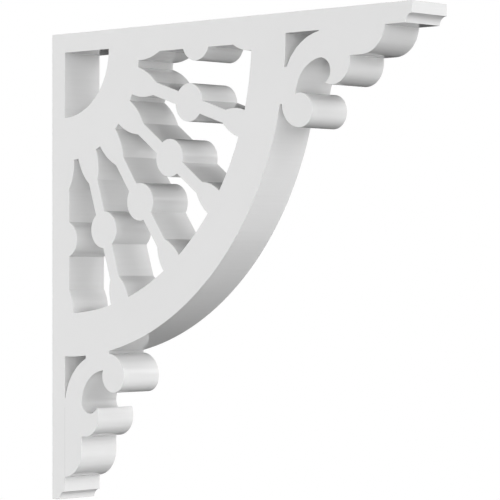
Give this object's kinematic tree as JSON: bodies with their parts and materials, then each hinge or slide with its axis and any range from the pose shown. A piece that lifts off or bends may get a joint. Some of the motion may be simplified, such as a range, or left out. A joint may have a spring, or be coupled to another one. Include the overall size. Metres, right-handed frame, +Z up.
{
  "type": "gable bracket",
  "caption": "Flat white fretwork bracket for the corner of a wall and a soffit: a fan of turned spindles within a quarter-round arch, with a hooked scroll on each arm",
  "frame": {"origin": "middle of the face that lies against the wall", "axes": "+Y points into the wall, +Z points up to the soffit, X runs through the thickness"},
  "size_m": [0.076, 0.765, 0.75],
  "materials": {
    "pvc": "satin"
  },
  "bodies": {
    "root": {"bracket": "pvc"}
  },
  "joints": []
}
